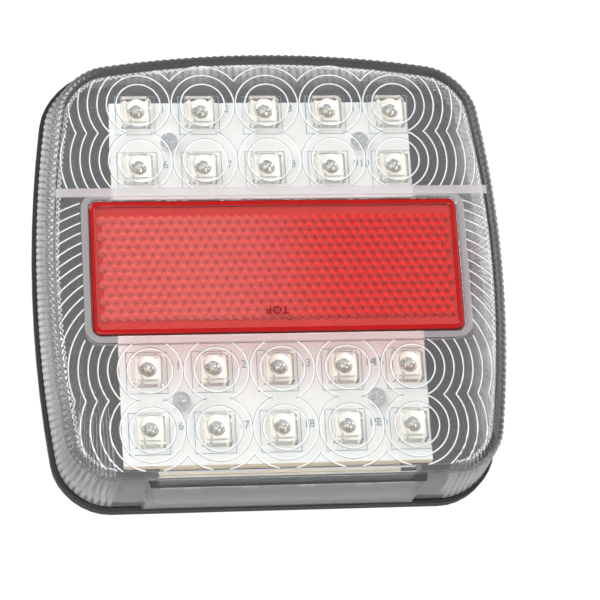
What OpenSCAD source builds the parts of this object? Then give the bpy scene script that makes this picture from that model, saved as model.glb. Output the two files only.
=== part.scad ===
// Square trailer tail light: clear lens, red reflex reflector, LED board, number plate light and
// a flat-backed housing on two studs.
// Millimetres. X is the lamp's width, +Z is up and the lens faces -Y.
// The origin is the centre of the flat rear face that lies on the vehicle.

/* [Body] */
// Overall width, measured over the housing
body_w = 107; // [100:1:128]
// Overall height, measured over the housing
body_h = 108; // [104:1:128]
// Depth from the rear face to the front of the lens
body_d = 25; // [24:0.5:34]
// How far each side bows out at its middle
side_bow = 4.6; // [1:0.1:6]
// How far the top bows up at its middle
top_bow = 4.4; // [1:0.1:6]
// Radius of the four corners
corner_r = 11.5; // [8:0.5:16]

/* [Housing] */
// Thickness of the rear wall
floor_t = 2.2; // [1.6:0.1:3]
// Thickness of the rim around the lens edge
rim_t = 0.8; // [0.8:0.1:2]
// Height of the rim above the rear face
rim_d = 3.4; // [3.2:0.1:5]
// Thickness of the inner wall that locates the lens edge
locating_t = 1.3; // [1:0.1:2]
// Depth of the groove that takes the lens edge
groove_d = 1.8; // [1.2:0.1:2]

/* [Lens] */
// Thickness of the lens
lens_t = 2.2; // [1.6:0.1:3]
// Gap between the lens edge and each wall of its groove
lens_clearance = 0.2; // [0.1:0.05:0.3]
// How far each side of the lens leans in over its depth
side_lean = 1; // [0.2:0.1:3]
// How far the top of the lens leans in over its depth
top_lean = 5.6; // [1:0.1:6]
// How far the bottom of the lens leans in over its depth
bottom_lean = 1; // [0.2:0.1:1]
// Radius of the edge between the front and the side walls
edge_r = 2; // [1:0.1:3]
// Thickness of the seal under the lens edge
seal_t = 0.8; // [0.5:0.1:1]
// Height of the bar across the front above the reflector
bar_h = 2; // [1:0.1:3]
// How far that bar stands out
bar_d = 0.5; // [0.3:0.1:1]
// Distance from the top of the reflector to that bar
bar_gap = 0.9; // [0.5:0.1:2]
// Width of the number plate window in the bottom wall
window_w = 61; // [40:1:66]
// Distance from the window's flat underside up to the bottom of the housing
window_lift = 0.3; // [0.2:0.1:1]
// Distance from the front of the lens back to the window
window_setback = 1.6; // [1:0.1:4]
// How much wider the window is at its root than at its underside, at each end
window_slope = 1.5; // [0.5:0.5:3]

/* [Reflector] */
// Width of the reflector
reflector_w = 83.4; // [60:0.2:86]
// Height of the reflector
reflector_h = 31.2; // [20:0.2:32]
// Thickness of the reflector
reflector_t = 2.2; // [1.8:0.1:3]
// Corner radius of the reflector
reflector_r = 1.8; // [1:0.1:4]
// Height of the reflector's middle above the lamp's middle
reflector_z = -3.7; // [-5:0.1:-3]
// Gap between the reflector and its pocket
reflector_clearance = 0.2; // [0.1:0.05:0.3]
// Thickness of the pocket's walls and floor
pocket_t = 1.4; // [1:0.1:2]

/* [LEDs] */
// Distance from one LED column to the next
led_pitch_x = 14.7; // [12:0.1:15]
// Distance between the two LED rows of a pair
led_pitch_z = 13.4; // [11:0.1:14]
// Sideways offset of the LED columns from the lamp's middle
led_shift_x = -0.1; // [-1:0.1:1]
// Height of the lowest of the upper LED rows
upper_row_z = 22.1; // [21:0.1:23]
// Height of the highest of the lower LED rows
lower_row_z = -25.2; // [-26:0.1:-25]
// Width of an LED body
led_w = 6.8; // [6:0.1:7.6]
// Thickness of an LED body
led_t = 3.6; // [3:0.1:4]
// Cut corner that marks an LED's polarity
led_chamfer = 1; // [0.5:0.1:1.5]
// Radius of an LED's dome
led_dome_r = 2.3; // [1.8:0.1:2.6]
// Height of an LED's dome above its body
led_dome_h = 1.4; // [1:0.1:1.6]
// Gap between an LED body and the board
led_standoff = 0.5; // [0.3:0.1:0.8]
// Distance between the legs of an LED
led_leg_pitch = 5; // [4:0.1:5.4]
// Width of an LED's leg
led_leg_w = 0.6; // [0.4:0.1:0.8]

/* [Boards] */
// Thickness of both circuit boards
board_t = 1.6; // [1:0.1:2]
// Gap between the LEDs' domes and the lens
led_lens_gap = 2.3; // [0.5:0.1:2.6]
// Board left of the first LED column
board_left = 6; // [5:0.1:8]
// Board right of the last LED column
board_right = 4.6; // [3.8:0.1:6]
// Board above the top LED row
board_above = 3; // [2.9:0.1:5]
// Height of the main board's lower edge above the underside of the number plate light's board
board_lift = 0.9; // [0:0.1:1.5]
// Width of the number plate light's board
plate_board_w = 54; // [40:1:60]
// Depth of that board from front to back
plate_board_d = 9; // [7:0.1:9.5]
// Distance from the main board to the number plate light's board
plate_board_gap = 1.6; // [1:0.1:2]
// Distance from that board's face to the inside of the window
plate_board_drop = 5; // [3.4:0.1:6]
// Number of LEDs for the number plate
plate_led_count = 4; // [3:1:6]
// Distance between those LEDs
plate_led_pitch = 13; // [9:0.5:13]
// Width of one of those LEDs
plate_led_w = 3.5; // [2.8:0.1:5]
// Depth of one of those LEDs
plate_led_d = 2.8; // [2:0.1:5]
// Thickness of one of those LEDs
plate_led_t = 1.6; // [1:0.1:2]
// Number of pins that join the two boards
link_count = 5; // [3:1:8]
// Distance between those pins
link_pitch = 2.54; // [2:0.02:4]
// Width of one of those pins
link_w = 0.64; // [0.5:0.02:1]

/* [Board parts] */
// Number of resistors
resistor_count = 6; // [2:1:8]
// Distance between the resistors
resistor_pitch = 6; // [5:0.5:7]
// Radius of a resistor
resistor_r = 1.2; // [0.9:0.1:1.4]
// Length of a resistor
resistor_l = 6.5; // [5:0.5:7]
// Height of the resistors' middle
resistor_z = 12.5; // [11:0.5:13]
// Radius of a protection diode
diode_r = 1.3; // [1:0.1:1.5]
// Length of a protection diode
diode_l = 5; // [4:0.5:6]
// Number of protection diodes
diode_count = 3; // [2:1:4]
// Distance between the diodes
diode_pitch = 10; // [9:0.5:12]
// Height of the diodes' middle
diode_z = -14; // [-15:0.5:-13]
// Radius of the leads of resistors and diodes
lead_r = 0.3; // [0.25:0.05:0.4]
// How far a lead reaches past each end of its part
lead_reach = 1.6; // [1.2:0.1:2]
// Gap between such a part and the board
part_standoff = 0.4; // [0.3:0.1:0.8]
// Number of poles of the connector for the cable's cores
connector_poles = 5; // [3:1:7]
// Distance between its poles
connector_pitch = 3.5; // [2.5:0.1:4]
// Height of the connector on the board
connector_h = 7; // [5:0.5:8]
// Depth of the connector
connector_d = 6; // [5:0.1:7]
// Height of the connector's middle
connector_z = -24; // [-27:0.5:-23]

/* [Board screws] */
// Radius of the thread
screw_r = 1.2; // [1:0.05:1.5]
// Length under the head
screw_l = 7; // [6:0.5:8]
// Radius of the head
screw_head_r = 2; // [1.8:0.1:2.4]
// Height of the head
screw_head_t = 1.5; // [1:0.1:2]
// Length of the arms of the cross in the head
screw_cross_l = 2.4; // [1.6:0.1:3]
// Width of those arms
screw_cross_w = 0.5; // [0.4:0.1:0.8]
// Depth of the cross
screw_cross_d = 0.8; // [0.5:0.1:0.9]
// Radius of the posts that the screws hold in
post_r = 3; // [2.6:0.1:3.4]

/* [Studs] */
// Distance between the studs
stud_spacing = 45; // [40:1:52]
// Height of the studs
stud_z = 0; // [-2:0.5:2]
// Radius of a stud's thread
stud_r = 2.5; // [2:0.5:3]
// How much wider a stud's plain shoulder inside the housing is
stud_shoulder_step = 0.3; // [0.2:0.1:0.5]
// Length of a stud behind the rear face
stud_l = 20; // [12:1:30]
// Width of a stud's head across its flats
stud_head_w = 8; // [7:0.5:10]
// Thickness of a stud's head
stud_head_t = 3.5; // [2.8:0.1:4]
// Thickness of plastic under a stud's head
stud_seat_t = 4.5; // [4:0.1:5]
// Radius of the boss that holds a stud's head
stud_boss_r = 7; // [6.6:0.1:8]
// Gap around a stud and its head
stud_clearance = 0.1; // [0.05:0.05:0.2]
// Thickness of the O-ring around a stud
o_ring_t = 1.6; // [1.2:0.1:2]
// Gap around the O-ring in its recess
o_ring_clearance = 0.2; // [0.1:0.05:0.4]

/* [Cable inlet] */
// Radius of the hole for the cable
cable_r = 3.1; // [2:0.1:3.6]
// Radius of the grommet's neck
grommet_neck_r = 5; // [4.6:0.1:5.4]
// Radius of the grommet's flanges
grommet_flange_r = 7; // [6.4:0.1:7.6]
// Thickness of one flange
grommet_flange_t = 1.4; // [1:0.1:1.6]
// Height of the cable inlet
inlet_z = -21; // [-24:0.5:-19]
// Gap between the grommet and the housing
grommet_clearance = 0.05; // [0:0.05:0.1]

/* [Hidden] */
LED_NODES = [for (i = [1:20]) str("led_", i)];
PLATE_LED_NODES = [for (i = [1:plate_led_count]) str("plate_led_", i)];

// Fineness of round shapes
$fn = 48;
// Points along one bowed edge and along one corner of the outline
EDGE_STEPS = 10;
CORNER_STEPS = 8;
// Steps around the rounded front edge of the lens
ROUND_STEPS = 4;
// Share of that rounding at the bottom, where the edge is crisp
BOTTOM_ROUND = 0.3;
// A cut reaches this far past the surface it opens
CUT = 1;

LED_COLUMNS = 5;
led_x = [for (i = [0:LED_COLUMNS - 1]) led_shift_x + (i - (LED_COLUMNS - 1) / 2) * led_pitch_x];
led_z = [upper_row_z + led_pitch_z, upper_row_z, lower_row_z, lower_row_z - led_pitch_z];

half_w = body_w / 2;
half_h = body_h / 2;
groove_floor_y = rim_d - groove_d;
lens_inset = rim_t + lens_clearance;
lens_base_y = groove_floor_y + seal_t;
groove_inner = rim_t + lens_t + 2 * lens_clearance;
lens_lean_y = rim_d + 0.2;

board_front_y = body_d - lens_t - led_lens_gap - led_dome_h - led_t - led_standoff;
board_y = board_front_y - board_t;
board_x0 = led_x[0] - board_left;
board_x1 = led_x[LED_COLUMNS - 1] + board_right;
board_z1 = led_z[0] + board_above;
screw_x = [(led_x[0] + led_x[1]) / 2, (led_x[3] + led_x[4]) / 2];
screw_z = [(led_z[0] + led_z[1]) / 2, (led_z[2] + led_z[3]) / 2];

window_z = window_lift - half_h;
window_inner_z = window_z + lens_t;
plate_board_z = window_inner_z + plate_board_drop;
board_z0 = plate_board_z + board_lift;
plate_board_y = board_y - plate_board_gap - plate_board_d;
bar_z = reflector_z + reflector_h / 2 + bar_gap;

stud_x = stud_spacing / 2;
stud_shoulder_r = stud_r + stud_shoulder_step;
o_ring_seat_r = stud_shoulder_r + o_ring_t + o_ring_clearance;
inlet_floor_y = grommet_flange_t + floor_t;

// A point of a plain rounded rectangle, moved out by the bow of the sides and of the top
function bow(p, a, t, b) =
    let (u = (2 * p[1] - t - b) / (t - b), v = p[0] / a)
    [p[0] + v * side_bow * max(0, 1 - u * u),
     p[1] + (p[1] > 0 ? p[1] / t * top_bow * max(0, 1 - v * v) : 0)];

// Points on a straight line, without its last one
function line(p, q, n) = [for (i = [0:n - 1]) p + (q - p) * i / n];

// Points on a quarter circle, without its last one
function quarter(c, r, start) =
    [for (i = [0:CORNER_STEPS - 1])
        let (a = start + 90 * i / CORNER_STEPS)
        c + r * [cos(a), sin(a)]];

// The lamp's outline, set in from the housing's by its own amount at the sides, top and bottom
function outline(side, top, bottom) =
    let (
        a = half_w - side_bow - side,
        t = half_h - top_bow - top,
        b = bottom - half_h,
        r = corner_r - side
    )
    [for (p = concat(
        line([a, b + r], [a, t - r], EDGE_STEPS),
        quarter([a - r, t - r], r, 0),
        line([a - r, t], [r - a, t], EDGE_STEPS),
        quarter([r - a, t - r], r, 90),
        line([-a, t - r], [-a, b + r], EDGE_STEPS),
        quarter([r - a, b + r], r, 180),
        line([r - a, b], [a - r, b], EDGE_STEPS),
        quarter([a - r, b + r], r, 270)
    )) bow(p, a, t, b)];

// The same outline, set in by one amount all round
function outline_in(inset) = outline(inset, inset, inset);

// A closed solid through a list of outlines, each at its own distance in front of the rear face
module loft(sections, distances) {
    n = len(sections[0]);
    m = len(sections);
    points = [for (k = [0:m - 1]) for (p = sections[k]) [p[0], -distances[k], p[1]]];
    sides = [for (k = [0:m - 2]) for (i = [0:n - 1])
        let (j = (i + 1) % n)
        each [
            [k * n + i, k * n + n + i, k * n + j],
            [k * n + j, k * n + n + i, k * n + n + j]
        ]];
    back = [[for (i = [0:n - 1]) i]];
    front = [[for (i = [n - 1:-1:0]) (m - 1) * n + i]];
    polyhedron(points, concat(sides, back, front), convexity = 4);
}

// A flat shape in X and Z, pulled out from one distance in front of the rear face to another
module slab(from_y, to_y) {
    translate([0, -from_y, 0]) rotate([90, 0, 0]) linear_extrude(to_y - from_y) children();
}

// A round bar along Y, from one distance in front of the rear face to another
module bar_y(from_y, to_y, r) {
    translate([0, -from_y, 0]) rotate([90, 0, 0]) cylinder(h = to_y - from_y, r = r);
}

module at_screws() {
    for (x = screw_x, z = screw_z) translate([x, 0, z]) children();
}

module at_studs() {
    for (side = [-1, 1]) translate([side * stud_x, 0, stud_z]) children();
}

// A rectangle about the middle with quarter-round corners
module round_rectangle(w, h, r) {
    for (x = [-1, 1], z = [-1, 1]) translate([x * (w / 2 - r), z * (h / 2 - r)]) circle(r);
    square([w - 2 * r, h], center = true);
    square([w, h - 2 * r], center = true);
}

module hexagon(across_flats) {
    circle(r = across_flats / sqrt(3), $fn = 6);
}

module rear_housing() {
    color([0.09, 0.09, 0.1]) difference() {
        union() {
            difference() {
                slab(0, rim_d) polygon(outline(0, 0, 0));
                slab(floor_t, rim_d + CUT) polygon(outline_in(groove_inner + locating_t));
                slab(groove_floor_y, rim_d + CUT) difference() {
                    polygon(outline_in(rim_t));
                    polygon(outline_in(groove_inner));
                }
            }
            at_screws() bar_y(floor_t, board_y, post_r);
            at_studs() bar_y(floor_t, stud_seat_t + stud_head_t, stud_boss_r);
            translate([0, 0, inlet_z]) bar_y(floor_t, inlet_floor_y, grommet_flange_r + 2);
        }
        at_screws() bar_y(board_front_y - screw_l - 0.5, board_y + CUT, screw_r + 0.02);
        at_studs() {
            bar_y(-CUT, stud_seat_t + CUT, stud_shoulder_r + stud_clearance);
            bar_y(-CUT, o_ring_t, o_ring_seat_r);
            slab(stud_seat_t, stud_seat_t + stud_head_t + CUT) hexagon(stud_head_w + 2 * stud_clearance);
        }
        translate([0, 0, inlet_z]) {
            bar_y(-CUT, grommet_flange_t, grommet_flange_r + grommet_clearance);
            bar_y(-CUT, inlet_floor_y + CUT, grommet_neck_r + grommet_clearance);
        }
    }
}

module lens_seal() {
    color([0.16, 0.16, 0.17]) slab(groove_floor_y, lens_base_y) difference() {
        polygon(outline_in(lens_inset));
        polygon(outline_in(lens_inset + lens_t));
    }
}

// The lens's outer shape, or the hollow inside it when it is set in by the lens's thickness
module lens_form(inset, from_y) {
    round_y = body_d - edge_r;
    round_r = edge_r - min(inset, edge_r - 0.2);
    top_y = body_d - inset;
    lean = [side_lean, top_lean, bottom_lean];
    start = lens_inset + inset;
    rounds = [for (i = [1:ROUND_STEPS]) 90 * i / ROUND_STEPS];
    distances = concat(
        [from_y, lens_lean_y, top_y - round_r],
        [for (a = rounds) top_y - round_r + round_r * sin(a)]
    );
    insets = concat(
        [[0, 0, 0], [0, 0, 0], lean],
        [for (a = rounds) lean + (1 - cos(a)) * round_r * [1, 1, BOTTOM_ROUND]]
    );
    sections = [for (k = insets) outline(start + k[0], start + k[1], start + k[2])];
    loft(sections, distances);
}

// The flat-bottomed box of the number plate window, or the hollow inside it when it is set in
module window_form(inset) {
    low = window_z + inset;
    high = window_z + 3 * lens_t;
    half = window_w / 2 - inset;
    slab(lens_lean_y + lens_clearance + inset, body_d - window_setback - inset) polygon([
        [-half, low],
        [half, low],
        [half + window_slope, high],
        [-half - window_slope, high]
    ]);
}

module front_lens() {
    pocket_w = reflector_w + 2 * reflector_clearance;
    pocket_h = reflector_h + 2 * reflector_clearance;
    pocket_r = reflector_r + reflector_clearance;
    pocket_y = body_d - reflector_t;
    color([0.93, 0.95, 0.96, 0.3]) difference() {
        union() {
            difference() {
                union() {
                    lens_form(0, lens_base_y);
                    window_form(0);
                }
                lens_form(lens_t, lens_base_y - CUT);
                window_form(lens_t);
            }
            translate([0, 0, reflector_z]) slab(pocket_y - pocket_t, body_d - lens_t + 0.1)
                round_rectangle(pocket_w + 2 * pocket_t, pocket_h + 2 * pocket_t, pocket_r + pocket_t);
            translate([0, 0, bar_z]) slab(body_d - lens_t / 2, body_d + bar_d)
                translate([-bar_w() / 2, 0]) square([bar_w(), bar_h]);
        }
        translate([0, 0, reflector_z]) slab(pocket_y, body_d + CUT)
            round_rectangle(pocket_w, pocket_h, pocket_r);
    }
}

// The bar runs across the flat of the lens
function bar_w() = body_w - 2 * (lens_inset + side_lean + edge_r) - 1;

module reflector() {
    color([0.8, 0.04, 0.05]) translate([0, 0, reflector_z])
        slab(body_d - reflector_t, body_d) round_rectangle(reflector_w, reflector_h, reflector_r);
}

module main_board() {
    color([0.95, 0.95, 0.93]) difference() {
        slab(board_y, board_front_y)
            translate([board_x0, board_z0]) square([board_x1 - board_x0, board_z1 - board_z0]);
        at_screws() bar_y(board_y - CUT, board_front_y + CUT, screw_r + 0.2);
    }
}

// One square LED with a domed top, on four short legs, its middle at x and z
module led(x, z) {
    body_y = board_front_y + led_standoff;
    top_y = body_y + led_t;
    h = led_w / 2;
    sphere_r = (led_dome_r * led_dome_r + led_dome_h * led_dome_h) / (2 * led_dome_h);
    color([0.92, 0.94, 0.95, 0.5]) translate([x, 0, z]) {
        slab(body_y, top_y) polygon([
            [-h, -h], [h, -h], [h, h - led_chamfer], [h - led_chamfer, h], [-h, h]
        ]);
        intersection() {
            translate([0, sphere_r - led_dome_h - top_y, 0]) sphere(sphere_r);
            bar_y(top_y - led_t / 2, top_y + led_dome_h + CUT, led_dome_r);
        }
        for (a = [-1, 1], b = [-1, 1]) slab(board_front_y, body_y)
            translate([a * led_leg_pitch / 2, b * led_leg_pitch / 2])
                square(led_leg_w, center = true);
    }
}

// A pan-head screw into the end of a housing post, with a cross in its head
module board_screw() {
    difference() {
        union() {
            bar_y(board_front_y - screw_l, board_front_y, screw_r);
            bar_y(board_front_y, board_front_y + screw_head_t, screw_head_r);
        }
        slab(board_front_y + screw_head_t - screw_cross_d, board_front_y + screw_head_t + CUT) {
            square([screw_cross_l, screw_cross_w], center = true);
            square([screw_cross_w, screw_cross_l], center = true);
        }
    }
}

module board_screws() {
    color([0.75, 0.75, 0.77]) at_screws() board_screw();
}

module plate_light_board() {
    color([0.95, 0.95, 0.93]) translate([-plate_board_w / 2, -plate_board_y - plate_board_d, plate_board_z])
        cube([plate_board_w, plate_board_d, board_t]);
}

// One white LED under the number plate light's board, shining down through the window
module plate_led(i) {
    x = (i - (plate_led_count + 1) / 2) * plate_led_pitch;
    y = -plate_board_y - plate_board_d / 2;
    color([0.95, 0.93, 0.7])
        translate([x - plate_led_w / 2, y - plate_led_d / 2, plate_board_z - plate_led_t])
            cube([plate_led_w, plate_led_d, plate_led_t]);
}

// Square pins that stand on the small board and reach forward to the main board
module board_link_pins() {
    rise = 2;
    z = plate_board_z + board_t;
    from_y = plate_board_y + plate_board_d - 2;
    color([0.8, 0.68, 0.3]) for (i = [1:link_count])
        translate([(i - (link_count + 1) / 2) * link_pitch - link_w / 2, 0, 0]) {
            translate([0, -from_y, z]) cube([link_w, link_w, rise]);
            translate([0, -board_y, z + rise - link_w]) cube([link_w, board_y - from_y, link_w]);
        }
}

// An axial part along X behind the main board, its two leads bent forward to the board
module axial_part(r, l) {
    y = board_y - part_standoff - r;
    reach = l / 2 + lead_reach;
    translate([-l / 2, -y, 0]) rotate([0, 90, 0]) cylinder(h = l, r = r);
    translate([-reach, -y, 0]) rotate([0, 90, 0]) cylinder(h = 2 * reach, r = lead_r);
    for (side = [-1, 1]) translate([side * (reach - lead_r), 0, 0]) bar_y(y - lead_r, board_y, lead_r);
}

module resistors() {
    color([0.55, 0.72, 0.82]) for (i = [1:resistor_count])
        translate([0, 0, resistor_z + (i - (resistor_count + 1) / 2) * resistor_pitch])
            axial_part(resistor_r, resistor_l);
}

module diodes() {
    color([0.12, 0.12, 0.13]) for (i = [1:diode_count])
        translate([(i - (diode_count + 1) / 2) * diode_pitch, 0, diode_z])
            axial_part(diode_r, diode_l);
}

// A row connector behind the main board, one square opening for each core of the cable
module cable_connector() {
    w = connector_poles * connector_pitch;
    opening = connector_pitch - 1.2;
    color([0.9, 0.9, 0.86]) difference() {
        slab(board_y - connector_h, board_y) translate([0, connector_z]) square([w, connector_d], center = true);
        for (i = [1:connector_poles])
            slab(board_y - connector_h - CUT, board_y - connector_h / 2)
                translate([(i - (connector_poles + 1) / 2) * connector_pitch, connector_z])
                    square([opening, opening + 1], center = true);
    }
}

// A hexagon-head stud, its head and its plain shoulder held in the housing's boss
module mounting_stud(side) {
    color([0.78, 0.78, 0.8]) translate([side * stud_x, 0, stud_z]) {
        bar_y(-stud_l, stud_seat_t, stud_r);
        bar_y(0, stud_seat_t, stud_shoulder_r);
        slab(stud_seat_t, stud_seat_t + stud_head_t) hexagon(stud_head_w);
    }
}

module stud_o_ring(side) {
    r = o_ring_t / 2;
    color([0.13, 0.13, 0.13]) translate([side * stud_x, -r, stud_z]) rotate([90, 0, 0])
        rotate_extrude() translate([stud_shoulder_r + r, 0]) circle(r);
}

// A double-flanged rubber grommet, its outer flange flush with the rear face
module cable_grommet() {
    color([0.13, 0.13, 0.13]) translate([0, 0, inlet_z]) difference() {
        union() {
            bar_y(0, grommet_flange_t, grommet_flange_r);
            bar_y(0, inlet_floor_y + grommet_flange_t, grommet_neck_r);
            bar_y(inlet_floor_y, inlet_floor_y + grommet_flange_t, grommet_flange_r);
        }
        bar_y(-CUT, inlet_floor_y + grommet_flange_t + CUT, cable_r);
    }
}

rear_housing();
lens_seal();
front_lens();
reflector();
main_board();
for (i = [0:len(LED_NODES) - 1])
    led(led_x[i % LED_COLUMNS], led_z[floor(i / LED_COLUMNS)]);
board_screws();
plate_light_board();
for (i = [1:plate_led_count])
    plate_led(i);
board_link_pins();
resistors();
diodes();
cable_connector();
mounting_stud(-1);  // mounting_stud_left
mounting_stud(1);  // mounting_stud_right
stud_o_ring(-1);  // stud_o_ring_left
stud_o_ring(1);  // stud_o_ring_right
cable_grommet();
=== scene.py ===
# %% [markdown]
# # A square trailer tail light
# The lamp has a black housing, a clear lens with ring optics, a red reflector, twenty square LEDs
# on a white board and a small light for the number plate. Every size is in millimetres until a
# mesh is made, X is the width, Z is up and the lens faces -Y. A "depth" is a distance in front of
# the flat rear face.

import math

import bpy
import numpy as np
from mathutils import Matrix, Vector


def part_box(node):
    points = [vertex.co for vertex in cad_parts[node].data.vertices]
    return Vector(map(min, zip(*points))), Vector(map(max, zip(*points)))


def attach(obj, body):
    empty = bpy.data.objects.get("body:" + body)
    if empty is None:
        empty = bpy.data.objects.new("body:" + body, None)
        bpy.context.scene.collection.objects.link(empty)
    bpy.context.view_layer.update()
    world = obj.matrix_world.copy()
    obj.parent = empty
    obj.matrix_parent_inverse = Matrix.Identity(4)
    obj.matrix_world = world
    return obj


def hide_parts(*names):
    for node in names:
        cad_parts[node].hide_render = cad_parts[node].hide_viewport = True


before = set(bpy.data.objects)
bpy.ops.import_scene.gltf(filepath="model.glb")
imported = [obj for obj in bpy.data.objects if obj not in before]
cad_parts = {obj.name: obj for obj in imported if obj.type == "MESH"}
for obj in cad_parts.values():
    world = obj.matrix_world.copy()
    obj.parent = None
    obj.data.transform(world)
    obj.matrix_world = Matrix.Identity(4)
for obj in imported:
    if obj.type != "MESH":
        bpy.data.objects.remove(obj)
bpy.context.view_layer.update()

# %% [markdown]
# ## Turning numbers into meshes
# A piece is a set of points and triangles worked out as whole arrays. One helper makes the mesh.
# It measures the volume first, because a surface that is wound the wrong way round has a negative
# one, and turning the triangles round puts the outside of the plastic on the outside.

# %% From arrays to a piece
MM = 0.001
SMOOTH = math.radians(32)


def grid(rows, columns, around=True, along=False):
    """Two triangles for each cell of a grid of points that are numbered row by row."""
    r, c = np.meshgrid(np.arange(rows if along else rows - 1),
                       np.arange(columns if around else columns - 1), indexing="ij")
    r, c = r.ravel(), c.ravel()
    s, d = (r + 1) % rows, (c + 1) % columns
    a, b, e, f = r * columns + c, r * columns + d, s * columns + d, s * columns + c
    return np.concatenate([np.stack([a, b, e], 1), np.stack([a, e, f], 1)])


def outward(points, faces):
    """The faces, turned round if the sum of a . (b x c) / 6 over the triangles is negative."""
    a, b, c = (points[faces[:, i]] for i in range(3))
    volume = np.einsum("ij,ij->i", a, np.cross(b, c)).sum() / 6
    return faces if volume > 0 else faces[:, ::-1]


def loft(stations):
    """A closed skin through closed curves, given as (stations, points, 3), with a pole at each end
    at the mean of the end curve, so that its seams and its ends are shut."""
    m, n, _ = stations.shape
    points = np.concatenate([stations.reshape(-1, 3), stations[[0, -1]].mean(1)])
    i = np.arange(n)
    first = np.stack([np.full(n, m * n), (i + 1) % n, i], 1)
    last = np.stack([np.full(n, m * n + 1), (m - 1) * n + i, (m - 1) * n + (i + 1) % n], 1)
    faces = np.concatenate([grid(m, n), first, last])
    return points, outward(points, faces)


def piece(name, shapes, materials, replaces=(), smooth=SMOOTH):
    """One object from shapes, each a tuple of points, triangles and the number of its material."""
    starts = np.cumsum([0] + [len(s[0]) for s in shapes])
    points = np.concatenate([s[0] for s in shapes])
    faces = np.concatenate([s[1] + start for s, start in zip(shapes, starts)])
    finish = np.concatenate([np.broadcast_to(s[2], len(s[1])) for s in shapes])
    mesh = bpy.data.meshes.new(name)
    mesh.from_pydata((points * MM).tolist(), [], faces.tolist())
    for material in materials:
        mesh.materials.append(material)
    mesh.polygons.foreach_set("material_index", finish.astype(np.int32))
    mesh.shade_smooth()
    mesh.set_sharp_from_angle(angle=smooth)
    thing = bpy.data.objects.new(name, mesh)
    bpy.context.scene.collection.objects.link(thing)
    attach(thing, "root")
    if replaces:
        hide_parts(*replaces)
    print(f"{name}: {len(faces)} triangles")
    return thing


def place(name):
    """Middle and size of a CAD node in millimetres."""
    low, high = (np.array(corner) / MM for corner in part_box(name))
    return (low + high) / 2, high - low


# %% [markdown]
# ## Shader sums as plain expressions
# A finish is easier to read when its sums look like sums. The small class below wraps a socket, so
# that `1 - mask * 0.4` adds the Math nodes by itself. Every other node comes from one method.

# %% The socket class
class Wire:
    """A number in a shader, with arithmetic; add() makes any other node in the same tree."""

    def __init__(self, tree, socket=None):
        self.tree, self.socket = tree, socket

    def add(self, kind, settings=None, inputs=None, out=0):
        node = self.tree.nodes.new(kind)
        for key, value in (settings or {}).items():
            if key == "stops":
                self.stops(node.color_ramp, value)
            else:
                setattr(node, key, value)
        for key, value in (inputs or {}).items():
            if isinstance(value, Wire):
                self.tree.links.new(value.socket, node.inputs[key])
            else:
                node.inputs[key].default_value = value
        return Wire(self.tree, node.outputs[out] if node.outputs else None)

    @staticmethod
    def stops(ramp, stops):
        while len(ramp.elements) < len(stops):
            ramp.elements.new(0.5)
        for element, (position, shade) in zip(ramp.elements, stops):
            element.position, element.color = position, (*shade, 1)

    def sum(self, operation, first, second=0.0):
        return self.add("ShaderNodeMath", {"operation": operation}, {0: first, 1: second})

    def __add__(self, other):
        return self.sum("ADD", self, other)

    def __sub__(self, other):
        return self.sum("SUBTRACT", self, other)

    def __rsub__(self, other):
        return self.sum("SUBTRACT", other, self)

    def __mul__(self, other):
        return self.sum("MULTIPLY", self, other)

    def __gt__(self, other):
        return self.sum("GREATER_THAN", self, other)

    def __abs__(self):
        return self.sum("ABSOLUTE", self)

    def __mod__(self, other):
        return self.sum("FLOORED_MODULO", self, other)

    __radd__, __rmul__ = __add__, __mul__


def finish(name):
    """A new material with an empty tree, and a wire to build it with."""
    material = bpy.data.materials.new(name)
    material.use_nodes = True
    material.node_tree.nodes.clear()
    return material, Wire(material.node_tree)


def here(wire):
    """Where a point is on the object, in metres, as one vector and as three numbers."""
    spot = wire.add("ShaderNodeTexCoord", out="Object")
    split = wire.add("ShaderNodeSeparateXYZ", {}, {0: spot}).socket.node
    return spot, *(Wire(wire.tree, split.outputs[i]) for i in range(3))


def noise(wire, spot, size, detail=3.0):
    """Soft noise whose lumps are about size millimetres across."""
    return wire.add("ShaderNodeTexNoise", {}, {"Vector": spot, "Scale": 1000.0 / size,
                                               "Detail": detail, "Roughness": 0.55})


def blend(wire, factor, first, second):
    """One colour turning into another as the factor goes from 0 to 1."""
    return wire.add("ShaderNodeMix", {"data_type": "RGBA"},
                    {"Factor": factor, "A": (*first, 1), "B": (*second, 1)}, "Result")


def bump(wire, height, distance, strength=1.0):
    """Relief whose full height is distance millimetres."""
    return wire.add("ShaderNodeBump", {}, {"Height": height, "Distance": distance * MM,
                                           "Strength": strength})


def done(material, wire, shader):
    wire.add("ShaderNodeOutputMaterial", {}, {"Surface": shader})
    print("finish:", material.name)
    return material


# %% [markdown]
# ## Opaque finishes
# Most of the small parts share one recipe: a colour that drifts a little, a roughness that drifts
# with it and a fine relief. Only the numbers differ between moulded plastic, rubber, tinned metal
# and board lacquer, so one function makes them all and the numbers say what each one is.

# %% Plastics, rubber and metals
def see_through(wire, shader, tint):
    """The same surface, but tinted air for the rays that look for a lamp."""
    to_light = wire.add("ShaderNodeLightPath", out="Is Shadow Ray")
    air = wire.add("ShaderNodeBsdfTransparent", {}, {0: (*tint, 1)})
    return wire.add("ShaderNodeMixShader", {}, {0: to_light, 1: shader, 2: air})


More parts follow.
